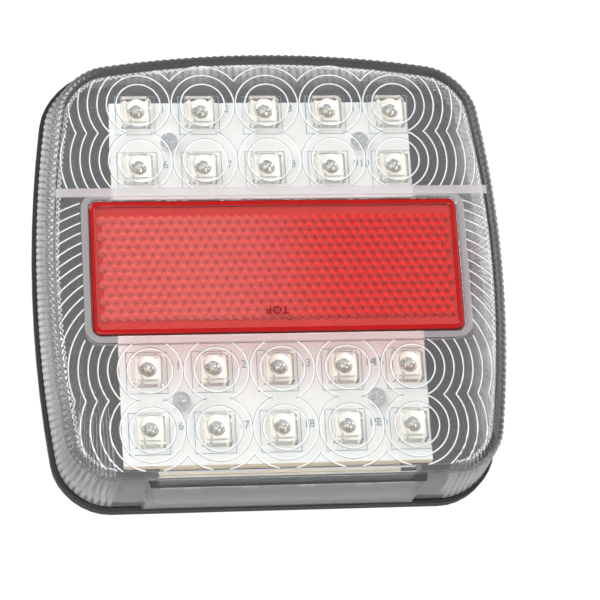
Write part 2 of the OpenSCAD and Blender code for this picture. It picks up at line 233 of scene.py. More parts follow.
def solid_finish(name, dark, light, rough, grain, relief, metal=0.0, coat=0.0, gloss=0.5,
                 tint=None):
    """Colour from dark to light and roughness from rough[0] to rough[1], by noise whose lumps are
    about grain millimetres across."""
    material, wire = finish(name)
    spot = here(wire)[0]
    drift = noise(wire, spot, grain * 6)
    fine = noise(wire, spot, grain, 2.0)
    shader = wire.add("ShaderNodeBsdfPrincipled", {}, {
        "Base Color": blend(wire, drift, dark, light),
        "Roughness": drift * (rough[1] - rough[0]) + rough[0],
        "Metallic": metal, "Specular IOR Level": gloss, "Coat Weight": coat, "Coat Roughness": 0.05,
        "Normal": bump(wire, fine, relief)})
    return done(material, wire, see_through(wire, shader, tint) if tint else shader)


black_moulding = solid_finish("black_moulding", (0.010, 0.010, 0.011), (0.022, 0.022, 0.024),
                              (0.38, 0.55), 0.35, 0.03, gloss=0.28)
soft_rubber = solid_finish("soft_rubber", (0.012, 0.012, 0.012), (0.03, 0.03, 0.03),
                           (0.7, 0.85), 0.5, 0.03)
zinc_plate = solid_finish("zinc_plate", (0.58, 0.60, 0.62), (0.80, 0.81, 0.82),
                          (0.18, 0.34), 0.25, 0.004, metal=1.0)
tinned_frame = solid_finish("tinned_frame", (0.88, 0.85, 0.77), (0.98, 0.96, 0.90),
                            (0.3, 0.45), 0.2, 0.003, metal=0.5)
cup_metal = solid_finish("cup_metal", (0.42, 0.43, 0.42), (0.74, 0.75, 0.72),
                         (0.14, 0.24), 0.15, 0.003, metal=1.0)
pin_gold = solid_finish("pin_gold", (0.72, 0.52, 0.20), (0.90, 0.72, 0.36),
                        (0.2, 0.34), 0.2, 0.003, metal=1.0)
diode_epoxy = solid_finish("diode_epoxy", (0.015, 0.015, 0.016), (0.03, 0.03, 0.032),
                           (0.3, 0.45), 0.2, 0.01)
white_nylon = solid_finish("white_nylon", (0.72, 0.71, 0.66), (0.80, 0.79, 0.74),
                           (0.35, 0.5), 0.3, 0.01)
white_case = solid_finish("white_case", (0.82, 0.82, 0.80), (0.90, 0.90, 0.88),
                          (0.3, 0.42), 0.2, 0.004)
phosphor = solid_finish("phosphor", (0.78, 0.62, 0.10), (0.90, 0.76, 0.18),
                        (0.25, 0.35), 0.12, 0.006, coat=0.6)
led_chip = solid_finish("led_chip", (0.55, 0.40, 0.16), (0.80, 0.66, 0.34),
                        (0.3, 0.4), 0.08, 0.002)
board_print = solid_finish("board_print", (0.07, 0.16, 0.19), (0.17, 0.28, 0.31),
                           (0.5, 0.6), 0.3, 0.004)

# %% [markdown]
# ## The board
# A circuit board is white lacquer on both faces and bare, tan glass fibre at its cut edges. The
# direction of the surface tells the two apart: the faces of this board look along Y, or along Z on
# the small one, so a finish that asks for the normal needs no second mesh.

# %% White lacquer with tan edges
def board_finish(name, axis):
    """Lacquer where the surface faces along one axis, and woven glass fibre where it doesn't."""
    material, wire = finish(name)
    spot = here(wire)[0]
    normal = wire.add("ShaderNodeNewGeometry", out="Normal")
    along = wire.add("ShaderNodeSeparateXYZ", {}, {0: normal}, out=axis)
    face = abs(along) > 0.7
    weave = noise(wire, spot, 0.8, 1.0)
    lacquer = blend(wire, noise(wire, spot, 9.0), (0.62, 0.63, 0.61), (0.69, 0.69, 0.66))
    fibre = blend(wire, weave, (0.78, 0.62, 0.40), (0.93, 0.80, 0.56))
    colour = wire.add("ShaderNodeMix", {"data_type": "RGBA"},
                      {"Factor": face, "A": fibre, "B": lacquer}, "Result")
    shader = wire.add("ShaderNodeBsdfPrincipled", {}, {
        "Base Color": colour, "Roughness": 0.62 - face * 0.3,
        "Normal": bump(wire, weave, 0.008)})
    return done(material, wire, shader)


main_lacquer = board_finish("main_lacquer", "Y")
plate_lacquer = board_finish("plate_lacquer", "Z")

# %% [markdown]
# ## Colour bands
# A resistor's value is painted on it as rings. Their place along the body is the distance from its
# middle, so the rings are ranges of the X coordinate, and the same finish serves every resistor.

# %% Resistor paint
material, wire = finish("resistor_paint")
spot, x, _, _ = here(wire)
ring = abs(((x * 1000.0 + 2.6) % 1.3) - 0.65)
band = (0.22 - ring > 0.0) * (2.3 - abs(x * 1000.0) > 0.0)
RING_PAINTS = [(0.0, (0.20, 0.06, 0.02)), (0.4, (0.02, 0.02, 0.02)),
               (0.6, (0.45, 0.03, 0.02)), (1.0, (0.60, 0.42, 0.08))]
hue = wire.add("ShaderNodeValToRGB", {"stops": RING_PAINTS}, {0: x * 200.0 + 0.5})
body = blend(wire, noise(wire, spot, 3.0), (0.62, 0.50, 0.34), (0.70, 0.58, 0.42))
colour = wire.add("ShaderNodeMix", {"data_type": "RGBA"}, {"Factor": band, "A": body, "B": hue},
                  "Result")
steel = abs(x) * 1000.0 > 3.3
shader = wire.add("ShaderNodeBsdfPrincipled", {}, {
    "Base Color": colour, "Roughness": 0.35, "Metallic": steel})
resistor_paint = done(material, wire, shader)

# %% [markdown]
# ## Clear plastic
# The lens and the LED bodies are true refracting solids. Light rays sent towards a lamp would stop
# at them and leave the inside black, so the finish turns see-through for those rays alone. Its
# slight waviness is the one that injection moulding leaves.

# %% Refracting plastics
def clear_finish(name, tint, rough, waves, haze_and_painted_sheen=0.0, pale_layer_colour=(0.9, 0.9, 0.92)):
    """Glass-like plastic; haze_and_painted_sheen is the share of a pale diffuse layer mixed in, as a
    number or as a function of the place on it. An even share is haze that the plastic scatters; a share
    that follows the place is painted sheen and painted reflection."""
    material, wire = finish(name)
    spot = here(wire)[0]
    wave = bump(wire, noise(wire, spot, 7.0, 1.0), waves)
    shader = wire.add("ShaderNodeBsdfPrincipled", {}, {
        "Base Color": (*tint, 1), "Roughness": rough, "IOR": 1.49,
        "Transmission Weight": 1.0, "Normal": wave})
    # A pale diffuse layer: even haze, and painted sheen where its share follows the place.
    if haze_and_painted_sheen:
        diffuse_layer = wire.add("ShaderNodeBsdfPrincipled", {}, {
            "Base Color": blend(wire, noise(wire, spot, 1.2), pale_layer_colour,
                                tuple(0.93 * v for v in pale_layer_colour)),
            "Roughness": 0.3, "Normal": wave})
        share = haze_and_painted_sheen(wire) if callable(haze_and_painted_sheen) else haze_and_painted_sheen
        shader = wire.add("ShaderNodeMixShader", {}, {0: share, 1: shader, 2: diffuse_layer})
    return done(material, wire, see_through(wire, shader, [0.96 * v for v in tint]))


def slope(wire, value, low, high):
    """A smooth climb from 0 at low to 1 at high, both in millimetres."""
    return wire.add("ShaderNodeMapRange", {"interpolation_type": "SMOOTHSTEP"},
                    {"Value": value, "From Min": low * MM, "From Max": high * MM})


def crest(wire):
    """1 on the crest of a flute and 0 in its groove, as stored on the lens's points."""
    return wire.add("ShaderNodeAttribute", {"attribute_name": "ridge"}, out="Fac")


def wall_milk(wire):
    """Painted sheen on the side walls, a pale layer for the bright room seen in them: 0.75 on the crests
    near the base, a tenth of that near the face. It is painted a tenth as strong on the top wall, which
    reads darker, and half as strong on the bottom wall."""
    _, _, y, z = here(wire)
    painted_side_share = (1 - slope(wire, z, 34, 50) * 0.9) * (1 - slope(wire, z, -20, -51) * 0.5)
    return painted_side_share * (1 - slope(wire, y * -1.0, 7, 19) * 0.85) * (crest(wire) * 0.4 + 0.35)


def face_milk(wire):
    """Painted reflection on the back of the face: paler along its top and right edges, in fine streaks,
    standing in for the fluted walls seen mirrored there, and 0.04 everywhere.
    """
    spot, x, _, z = here(wire)
    painted_streak_share = slope(wire, z, 38, 47) * 0.6 + slope(wire, x, 40, 49) * 0.45
    return painted_streak_share * (noise(wire, spot, 5.0) * 1.2 + crest(wire) * 0.5 - 0.3) + 0.04


clear_acrylic = clear_finish("clear_acrylic", (0.985, 0.99, 0.992), 0.015, 0.012, haze_and_painted_sheen=0.03)
# The back of the face carries painted reflection.
face_acrylic = clear_finish("face_acrylic", (0.985, 0.99, 0.992), 0.02, 0.012, haze_and_painted_sheen=face_milk)
# The side walls carry painted sheen.
fluted_acrylic = clear_finish("fluted_acrylic", (0.97, 0.975, 0.98), 0.1, 0.02, haze_and_painted_sheen=wall_milk)
frosted_acrylic = clear_finish("frosted_acrylic", (0.93, 0.91, 0.92), 0.14, 0.03, haze_and_painted_sheen=0.38,
                               pale_layer_colour=(0.66, 0.62, 0.63))
led_resin = clear_finish("led_resin", (0.99, 0.985, 0.965), 0.02, 0.01)

# %% [markdown]
# ## Ring lines
# The steps between two lens rings catch the light and read as thin white lines. That line is painted
# highlight: a solid white finish with a little transparency. Beside each step runs a painted shade, a
# darker strip which is more transparent and shows as a thin grey line over the white board.

# %% Painted highlight and shade of the steps
# Painted highlight: the white line of each ring step.
material, wire = finish("painted_ring_highlight")
spot = here(wire)[0]
shader = wire.add("ShaderNodeBsdfPrincipled", {}, {
    "Base Color": blend(wire, noise(wire, spot, 4.0), (0.80, 0.81, 0.82), (0.95, 0.95, 0.96)),
    "Roughness": 0.35, "Alpha": 0.82})
painted_ring_highlight = done(material, wire, shader)

# Painted shade: the dark see-through strip beside each step.
material, wire = finish("painted_ring_shade")
spot = here(wire)[0]
shader = wire.add("ShaderNodeBsdfPrincipled", {}, {
    "Base Color": blend(wire, noise(wire, spot, 4.0), (0.20, 0.21, 0.21), (0.34, 0.35, 0.36)),
    "Roughness": 0.2, "Alpha": 0.36})
painted_ring_shade = done(material, wire, shader)

# %% [markdown]
# ## The reflector's reds
# Red reflector plastic looks dark where it is thick and clear, and bright where its prisms send light
# back. That returned light is painted here: each prism facet carries a number for its share of light, and
# the finish turns that number into a painted light and shade. Along X the colour changes too, as painted
# light: towards one end the prisms are painted a deeper, more orange red, and the other end is paler.

# %% Red plastic
RED_LIGHT = (0.98, 0.80, 0.79)
red_shell = solid_finish("red_shell", (0.32, 0.0, 0.0), (0.46, 0.002, 0.001),
                         (0.08, 0.16), 1.5, 0.004, coat=0.15, gloss=0.3, tint=RED_LIGHT)
# Painted shade: a near-black red for the tray's outer rounding and the inner wall of its border.
red_painted_shade = solid_finish("red_painted_shade", (0.10, 0.0, 0.0), (0.17, 0.0, 0.0),
                        (0.1, 0.2), 1.5, 0.004, gloss=0.3, tint=RED_LIGHT)
red_floor = solid_finish("red_floor", (0.38, 0.03, 0.028), (0.46, 0.04, 0.036),
                         (0.2, 0.3), 1.5, 0.004, tint=RED_LIGHT)
red_letter = solid_finish("red_letter", (0.16, 0.001, 0.001), (0.22, 0.002, 0.002),
                          (0.3, 0.4), 0.4, 0.004, gloss=0.2)

material, wire = finish("red_prism")
spot, x, _, _ = here(wire)
facet = wire.add("ShaderNodeAttribute", {"attribute_name": "facet"}, out="Fac")
# Painted light: the prisms' red goes from pale to deep along X.
end = wire.add("ShaderNodeMapRange", {"interpolation_type": "SMOOTHSTEP"},
               {"Value": x + noise(wire, spot, 9.0, 1.0) * 0.004, "From Min": -0.016,
                "From Max": 0.022})
PALE_REDS = [(0.0, (0.33, 0.09, 0.09)), (0.5, (0.43, 0.10, 0.098)), (1.0, (0.53, 0.12, 0.105))]
DEEP_REDS = [(0.0, (0.25, 0.003, 0.003)), (0.5, (0.39, 0.005, 0.004)), (1.0, (0.58, 0.014, 0.008))]
pale, deep = (wire.add("ShaderNodeValToRGB", {"stops": stops}, {0: facet})
              for stops in (PALE_REDS, DEEP_REDS))
colour = wire.add("ShaderNodeMix", {"data_type": "RGBA"}, {"Factor": end, "A": pale, "B": deep},
                  "Result")
shader = wire.add("ShaderNodeBsdfPrincipled", {}, {
    "Base Color": colour, "Roughness": 0.35, "Specular IOR Level": 0.25})
red_prism = done(material, wire, see_through(wire, shader, RED_LIGHT))

# %% [markdown]
# ## The lamp's outline
# The lamp is a rounded rectangle whose sides and top bow outwards. The same walk along that curve is used
# for the lens and the reflector's pocket, with one place number for matching points, so two curves of
# quite different size can be joined without their lines crossing.

# %% Sizes that the outline needs
HALF_W, HALF_H, DEPTH = 53.5, 54.0, 25.0
SIDE_BOW, TOP_BOW, CORNER_R = 4.6, 4.4, 11.5
LENS_T, LENS_INSET, LENS_BASE, LEAN_START, EDGE_R = 2.2, 1.0, 2.4, 3.6, 2.0
LEAN = np.array([1.0, 5.6, 1.0])
EDGE_X = HALF_W - SIDE_BOW
LENGTHS = np.array([2 * HALF_H - TOP_BOW - 2 * CORNER_R, math.pi / 2 * CORNER_R,
                    2 * (EDGE_X - CORNER_R), math.pi / 2 * CORNER_R] * 2)
ENDS = np.cumsum(LENGTHS)
print("way round the outline:", round(ENDS[-1], 1), "mm")


# %% Walk along a rounded rectangle
def walk(s, right, top, bottom, r):
    """X and Z at place s: up the right side, then the corner, the top and so on round. A straight
    part goes evenly between its two ends, a corner is centre + r (cos, sin)."""
    s = np.mod(s, ENDS[-1])
    part = np.minimum(np.searchsorted(ENDS, s, side="right"), 7)
    f = (s - (ENDS - LENGTHS)[part]) / LENGTHS[part]
    x, z = right - r, np.array([bottom + r, top - r])
    centre = np.array([[x, z[1]], [x, z[1]], [-x, z[1]], [-x, z[1]],
                       [-x, z[0]], [-x, z[0]], [x, z[0]], [x, z[0]]])
    before = np.roll(centre, 1, axis=0)
    angle = np.array([0, 0, 90, 90, 180, 180, 270, 270]) * math.pi / 180
    bend = angle[part] + np.where(part % 2 == 1, f * math.pi / 2, 0)
    start = np.where((part % 2 == 1)[:, None], centre[part], before[part])
    middle = start + f[:, None] * (centre[part] - start)
    return middle + r * np.stack([np.cos(bend), np.sin(bend)], 1)


def outline(s, inset):
    """The lamp's outline, set in by (side, top, bottom): the rounded rectangle, moved out by
    side_bow (1 - u^2) at the sides and by top_bow (1 - v^2) at the top, where u and v go from -1
    to 1 over its height and width."""
    a, t, b = EDGE_X - inset[0], HALF_H - TOP_BOW - inset[1], inset[2] - HALF_H
    p = walk(s, a, t, b, CORNER_R - inset[0])
    u, v = (2 * p[:, 1] - t - b) / (t - b), p[:, 0] / a
    lift = np.where(p[:, 1] > 0, p[:, 1] / t * TOP_BOW * np.maximum(0, 1 - v ** 2), 0)
    return p + np.stack([v * SIDE_BOW * np.maximum(0, 1 - u ** 2), lift], 1)


# %% [markdown]
# ## The lens shell
# The lens is one thin moulding: outside wall, rounded edge, face, reflector pocket and the step of
# the number plate window. It is made as a single closed skin: a curve starts in the middle of the
# pocket floor, grows out over the face, goes down the outside wall, turns round the base edge and
# comes back up the inside. The walls have flutes. Their ridges are lines of the grid itself,
# pushed out by a half wave, so a few curves along the depth are enough to draw them sharply.

# %% Where the grid lines run
FLUTE, FLUTE_STEPS, FLUTE_H, SLANT = 1.6, 8, 0.26, 0.18
WINDOW_HALF, WINDOW_Z = 30.5, -53.7
BOTTOM = ENDS[5]
flutes = round((ENDS[-1] - LENGTHS[6]) / FLUTE)
fluted = np.linspace(ENDS[6] - ENDS[-1], BOTTOM, flutes * FLUTE_STEPS + 1)
flat_x = np.unique(np.concatenate([np.linspace(-35, 35, 15), *[(-v, v) for v in (
    WINDOW_HALF + 0.4, WINDOW_HALF, WINDOW_HALF - LENS_T + 0.45, WINDOW_HALF - LENS_T)]]))
lines = np.concatenate([fluted, BOTTOM + LENGTHS[6] / 2 + flat_x])
ridge = np.concatenate([np.abs(np.sin(np.arange(len(fluted)) * math.pi / FLUTE_STEPS)),
                        np.zeros(len(flat_x))])
lean_way = np.interp(lines, [fluted[0], 0, 10, ENDS[0], ENDS[1] + LENGTHS[2] / 2, ENDS[3],
                             ENDS[4] - 10, ENDS[4], BOTTOM], [0, -0.6, -1, -1, 0, 1, 1, 0.6, 0])
print("flutes:", flutes, "grid lines:", len(lines))


# %% One curve of the shell
def level(depth, inset, push=0.0, window=None):
    """The outline at one depth. Its points slide along it by slant x depth, which slants the
    flutes, move out by push x ridge along its normal, and drop to the window's level where the
    window is, which is where |x| is within its half width."""
    s = lines + lean_way * SLANT * (min(depth, 23.0) - 14.0)
    p = outline(s, inset)
    if push:
        along = np.roll(p, -1, axis=0) - np.roll(p, 1, axis=0)
        normal = np.stack([along[:, 1], -along[:, 0]], 1)
        p = p + push * ridge[:, None] * normal / np.linalg.norm(normal, axis=1)[:, None]
    if window:
        inside = (np.abs(p[:, 0]) <= window[0] + 1e-6) & (p[:, 1] < -45)
        p[inside, 1] = window[1]
    return np.stack([p[:, 0], np.full(len(p), -depth), p[:, 1]], 1)


def pocket(depth, grow):
    """A curve of the reflector's pocket, made larger all round by grow."""
    p = walk(lines + lean_way * SLANT * 9.0, pocket_w / 2 + grow, pocket_h / 2 + grow,
             -pocket_h / 2 - grow, 2.0 + grow)
    return np.stack([p[:, 0], np.full(len(p), -depth), p[:, 1] + reflector_z], 1)


reflector_middle, reflector_size = place("reflector")
reflector_z = reflector_middle[2]
pocket_w, pocket_h = reflector_size[0] + 0.4, reflector_size[2] + 0.4
print("pocket:", round(pocket_w, 1), "x", round(pocket_h, 1), "mm")

# %% The outside, from the pocket to the base
outer_top = DEPTH - EDGE_R
outer_window = (WINDOW_HALF, WINDOW_Z)


def outer_inset(depth, angle=0.0):
    """Inset from the lean up to the wall's end, then the rounded edge's (1 - cos a) r."""
    lean = LEAN * np.clip((depth - LEAN_START) / (outer_top - LEAN_START), 0, 1)
    return LENS_INSET + lean + (1 - math.cos(angle)) * EDGE_R * np.array([1, 1, 0.3])


edge = [outer_top + EDGE_R * math.sin(math.radians(a)) for a in (90, 70, 50, 30)]
shell = [pocket(22.8, 0), pocket(24.8, 0), pocket(DEPTH, 0.2), pocket(DEPTH, 1.6)]
shell += [level(d, outer_inset(d, math.radians(a)), FLUTE_H)
          for d, a in zip(edge, (90, 70, 50, 30))]
shell += [level(23.4, outer_inset(23.4, math.asin(0.2)), FLUTE_H, w) for w in (None, outer_window)]
wall = (22.9, 20.0, 17.0, 14.0, 11.0, 8.5, 6.0, 5.0, 4.5)
shell += [level(d, outer_inset(d), FLUTE_H * (d > 4.8), outer_window) for d in wall]
shell += [level(3.8, outer_inset(3.8), 0, outer_window), level(3.8, outer_inset(3.8)),
          level(LEAN_START, outer_inset(LEAN_START)), level(LENS_BASE, outer_inset(LENS_BASE))]
outer_rows = len(shell)
print("curves outside:", outer_rows)

# %% The inside, from the base to the back of the pocket
inner_top = DEPTH - LENS_T
inner_window = (WINDOW_HALF - LENS_T, WINDOW_Z + LENS_T)


def inner_inset(depth, edge_in=0.0):
    lean = LEAN * np.clip((depth - LEAN_START) / (inner_top - 0.2 - LEAN_START), 0, 1)
    return LENS_INSET + LENS_T + lean + edge_in


shell += [level(LENS_BASE, inner_inset(LENS_BASE)), level(6.0, inner_inset(6.0)),
          level(6.0, inner_inset(6.0), 0, inner_window),
          level(14.0, inner_inset(14.0), 0, inner_window),
          level(21.2, inner_inset(21.2), 0, inner_window), level(21.2, inner_inset(21.2)),
          level(inner_top - 0.2, inner_inset(22.6)), level(inner_top, inner_inset(22.8, 0.2)),
          pocket(inner_top, 1.4), pocket(21.4, 1.4)]
points, faces = loft(np.stack(shell))
row = faces.min(1) // len(lines)
walls = (row >= 4) & (row < outer_rows - 4) & (faces.max(1) < len(lines) * len(shell))
frame_wall = ((row >= len(shell) - 2) | (row == 2)) & (faces.max(1) < len(lines) * len(shell))
face_back = (row == len(shell) - 3) & (faces.max(1) < len(lines) * len(shell))
lens_shell = piece("lens_shell", [(points, faces, walls + 2 * frame_wall + 3 * face_back)],
                   [clear_acrylic, fluted_acrylic, frosted_acrylic, face_acrylic],
                   ["front_lens"])
crests = lens_shell.data.attributes.new("ridge", "FLOAT", "POINT")
crests.data.foreach_set("value", np.append(np.tile(ridge, len(shell)), [0, 0]).astype(np.float32))

# %% [markdown]
# ## The bar above the reflector
# A flat frosted bar runs across the face above the reflector. It is a bevelled tablet: the outline
# of a plate carried through its thickness, drawn in a little at the front so that its edge shows.

# %% A bevelled tablet
def tablet(corners, back, front, bevel, per_edge=1):
    """A plate with a given outline in X and Z, from one depth to another. Its front edge is drawn
    in by the bevel: each point moves towards the middle by bevel / its distance."""
    corners = np.array(corners, float)
    f = np.arange(per_edge)[:, None] / per_edge
    ring = np.concatenate([p + (q - p) * f for p, q in zip(corners, np.roll(corners, -1, axis=0))])
    middle = corners.mean(0)
    size = np.maximum(np.abs(ring - middle).max(0), 1e-6)
    inner = middle + (ring - middle) * (1 - bevel / size)
    rows = [(inner, back), (ring, back + bevel), (ring, front - bevel), (inner, front)]
    return loft(np.stack([np.stack([p[:, 0], np.full(len(p), -d), p[:, 1]], 1) for p, d in rows]))


def rectangle(x, z, w, h, cut=0.0):
    """Corners of a rectangle about x and z, counter-clockwise, one of them cut off."""
    left, right, low, high = x - w / 2, x + w / 2, z - h / 2, z + h / 2
    last = [(right, high - cut), (right - cut, high)] if cut else [(right, high)]
    return [(left, low), (right, low), *last, (left, high)]


reflector_top = reflector_z + reflector_size[2] / 2
BAR_Z, BAR_H, BAR_W = reflector_top + 0.9 + 1.0, 2.0, 98.0
bar = tablet(rectangle(0, BAR_Z, BAR_W, BAR_H), DEPTH + 0.01, DEPTH + 0.48, 0.12)
piece("lens_bar", [(*bar, 0)], [frosted_acrylic])

# %% [markdown]
# ## Ring optics
# Behind the face there is one ring lens for each LED. A point of the face belongs to the LED that
# it is nearest to, so the rings of two neighbours meet in a cusp half way between them. For each
# ring the code takes a full circle, keeps the points that are nearest to its own LED and inside
# the face, and carries a small triangle along each stretch that is left.

# %% Which part of a circle is kept
led_spots = np.array([place(f"led_{i}")[0] for i in range(1, 21)])[:, [0, 2]]
groups = [led_spots[:10] - [0, 0.2], led_spots[10:] - [0, 2.0]]
rim = outline(np.linspace(0, ENDS[-1], 721)[:-1], inner_inset(22.8, 0.1))
rim_angle = np.arctan2(rim[:, 1], rim[:, 0])
rim_order = np.argsort(rim_angle)
RING_ANGLES = np.arange(1440) * math.pi / 720


def inside_face(p):
    """True where a point is nearer to the middle than the face's edge in the same direction."""
    reach = np.interp(np.arctan2(p[:, 1], p[:, 0]), rim_angle[rim_order],
                      np.linalg.norm(rim, axis=1)[rim_order], period=2 * math.pi)
    return np.linalg.norm(p, axis=1) < reach


def upper_zone(p):
    return p[:, 1] > BAR_Z + BAR_H / 2 + 0.2


def lower_zone(p):
    beside = np.abs(p[:, 0]) > pocket_w / 2 + 1.6
    below = p[:, 1] < reflector_z - pocket_h / 2 - 1.6
    return (p[:, 1] < BAR_Z - BAR_H / 2 - 0.3) & (beside | below)


def stretches(centre, radius, group, zone):
    """Start and end angles of the parts of one circle that are kept."""
    p = centre + radius * np.stack([np.cos(RING_ANGLES), np.sin(RING_ANGLES)], 1)
    apart = np.linalg.norm(p[:, None] - group[None], axis=2).min(1)
    keep = (apart > radius - 1e-6) & zone(p) & inside_face(p)
    if keep.all():
        return [(0.0, 2 * math.pi)]
    first = np.flatnonzero(keep & ~np.roll(keep, 1))
    last = np.flatnonzero(keep & ~np.roll(keep, -1))
    last = np.roll(last, -1) if len(last) and last[0] < first[0] else last
    spans = [(RING_ANGLES[a], RING_ANGLES[b] + 2 * math.pi * (b < a)) for a, b in zip(first, last)]
    return [span for span in spans if (span[1] - span[0]) * radius > 1.7]


# %% The rings themselves
RING_FIRST, RING_PITCH, RING_W, SHADE_W, RING_H = 5.0, 2.15, 0.26, 0.2, 0.3


def ring_strip(centre, radius, start, end, inner, outer):
    """A triangle carried along an arc: its points are centre + r (cos, sin) at the inner and the
    outer radius in the face, and half way between them behind it."""
    steps = max(4, math.ceil(radius * (end - start) / 0.7) + 1)
    a = np.linspace(start, end, steps)[:, None]
    r = radius + np.array([inner, outer, (inner + outer) / 2])[None]
    depth = np.broadcast_to(np.array([inner_top + 0.05, inner_top + 0.05, inner_top - RING_H]),
                            (steps, 3))
    return loft(np.stack([centre[0] + r * np.cos(a), -depth, centre[1] + r * np.sin(a)], 2))


for name, group, zone in zip(("rings_upper", "rings_lower"), groups, (upper_zone, lower_zone)):
    spans = [(c, r, *span) for c in group for r in RING_FIRST + RING_PITCH * np.arange(24)
             for span in stretches(c, r, group, zone)]
    strips = [(*ring_strip(*span, -RING_W / 2, RING_W / 2), 0) for span in spans]
    strips += [(*ring_strip(*span, RING_W / 2, RING_W / 2 + SHADE_W), 1) for span in spans]
    piece(name, strips, [painted_ring_highlight, painted_ring_shade], smooth=math.radians(50))

# %% [markdown]
# ## The row of teeth round the face
# Where the flutes of the wall run into the face they end in small teeth, which catch the light as a fine
# zigzag line. That line is painted highlight: a white strip like the rings, carried along the outline
# while its distance from the edge goes back and forth.

# %% Zigzag strip
TOOTH, TOOTH_W = 1.3, 0.2
count = 2 * round((fluted[-1] - fluted[0]) / TOOTH)
way = np.linspace(fluted[0], fluted[-1], count)
near, far = (outline(way, inner_inset(22.8, v)) for v in (0.25, 0.8))
middle = np.where((np.arange(count) % 2 == 0)[:, None], near, far)
inward = (far - near) / np.linalg.norm(far - near, axis=1)[:, None]
strip = np.stack([middle - inward * TOOTH_W / 2, middle + inward * TOOTH_W / 2, middle], 1)
depth = np.broadcast_to([inner_top + 0.05, inner_top + 0.05, inner_top - 0.25], (count, 3))
teeth = np.stack([strip[..., 0], -depth, strip[..., 1]], 2)
# The zigzag is painted highlight, in the white of the ring steps.
piece("edge_teeth", [(*loft(teeth), 0)], [painted_ring_highlight], smooth=math.radians(20))

# %% [markdown]
# ## The reflector
# The reflector is a shallow red tray. Its border is thick, glossy and dark, and its field holds
# rows of hexagonal prisms under a clear red skin. A prism here is the corner of a cube that stands
# on its point: the middle of the hexagon is high, three of its corners are half way down and the
# other three are low, which gives three facets that look three ways.

# %% Tray
def tray(depth, inset, radius):
    """The reflector's outline at one depth, set in by inset, with corners of one radius."""
    p = walk(np.linspace(0, ENDS[-1], TRAY_POINTS + 1)[:-1], reflector_size[0] / 2 - inset,
             reflector_size[2] / 2 - inset, inset - reflector_size[2] / 2, radius)
    return np.stack([p[:, 0] + reflector_middle[0], np.full(len(p), -depth),
                     p[:, 1] + reflector_z], 1)


BORDER, TRAY_POINTS = 1.25, 160
curves = [tray(22.85, 0.3, 1.5), tray(23.0, 0.0, 1.8), tray(24.5, 0.0, 1.8), tray(24.82, 0.1, 1.75),
          tray(24.95, 0.3, 1.6), tray(24.98, 0.6, 1.5), tray(24.96, BORDER - 0.2, 1.0),
          tray(24.85, BORDER, 0.9), tray(23.5, BORDER, 0.9)]
tray_points, tray_faces = loft(np.stack(curves))
tray_row = tray_faces.min(1) // TRAY_POINTS
on_floor = (tray_row >= 8) & (tray_faces.max(1) != TRAY_POINTS * len(curves))
# Rows 0 to 3, the outer wall and rounding, and row 7, the inner wall of the border, take the painted
# shade.
painted_shade_wall = (tray_row < 4) | (tray_row == 7)
piece("reflector_tray", [(tray_points, tray_faces, on_floor + 2 * painted_shade_wall)],
      [red_shell, red_floor, red_painted_shade], ["reflector"])

# %% Prisms
CELL, ROW = 2.16, 1.87
field = reflector_size[[0, 2]] / 2 - BORDER - 0.3
across, up = np.meshgrid(np.arange(-24, 25), np.arange(-12, 13))
cells = np.stack([(across + 0.5 * (up % 2)) * CELL, up * ROW], 2).reshape(-1, 2)
cells = cells[(np.abs(cells) < field - [CELL / 2, ROW * 0.62]).all(1)]
corner = np.arange(6) * math.pi / 3 + math.pi / 6
hexagon = np.stack([np.cos(corner), np.sin(corner)], 1) * CELL / math.sqrt(3) * 0.995
top = np.array([24.02, 23.82] * 3)
one = np.concatenate([[[0, 24.28, 0]], np.stack([hexagon[:, 0], top, hexagon[:, 1]], 1),
                      np.stack([hexagon[:, 0], np.full(6, 23.4), hexagon[:, 1]], 1), [[0, 23.4, 0]]])
i, j = np.arange(6), (np.arange(6) + 1) % 6
cell_faces = np.concatenate([np.stack([0 * i, 1 + i, 1 + j], 1), np.stack([1 + i, 7 + i, 7 + j], 1),
                             np.stack([1 + i, 7 + j, 1 + j], 1), np.stack([13 + 0 * i, 7 + j, 7 + i], 1)])
many = one[None] + np.stack([cells[:, 0], 0 * cells[:, 0], cells[:, 1] + reflector_z], 1)[:, None]
many[..., 1] *= -1
one[:, 1] *= -1
cell_faces = outward(one, cell_faces)
faces = (cell_faces[None] + 14 * np.arange(len(cells))[:, None, None]).reshape(-1, 3)
prisms = piece("reflector_prisms", [(many.reshape(-1, 3), faces, 0)], [red_prism],
               smooth=math.radians(5))
# Painted light and shade per facet: one facet lit (1), one half lit (0.35), one in shade (0), the sides
# 0.2.
shade = np.array([1.0, 0.35, 0.35, 0.0, 0.0, 1.0] + [0.2] * 18)
facet = prisms.data.attributes.new("facet", "FLOAT", "FACE")
facet.data.foreach_set("value", np.tile(shade, len(cells)).astype(np.float32))
print("prisms:", len(cells))

# %% Skin over the prisms
skin_red = clear_finish("skin_red", (1.0, 0.78, 0.76), 0.03, 0.01)
curves = [tray(24.45, BORDER + 0.1, 0.9), tray(24.55, BORDER + 0.02, 0.9),
          tray(24.8, BORDER + 0.02, 0.9), tray(24.9, BORDER + 0.12, 0.9)]
piece("reflector_skin", [(*loft(np.stack(curves)), 0)], [skin_red])

# %% [markdown]
# ## Letters and numerals
# The reflector has the word TOP moulded in it, which stands on its head here, and the board has a
# printed number beside each LED. A text object is turned into a mesh before it is put in place, so
# that its place ends up in its points, as with every other piece.

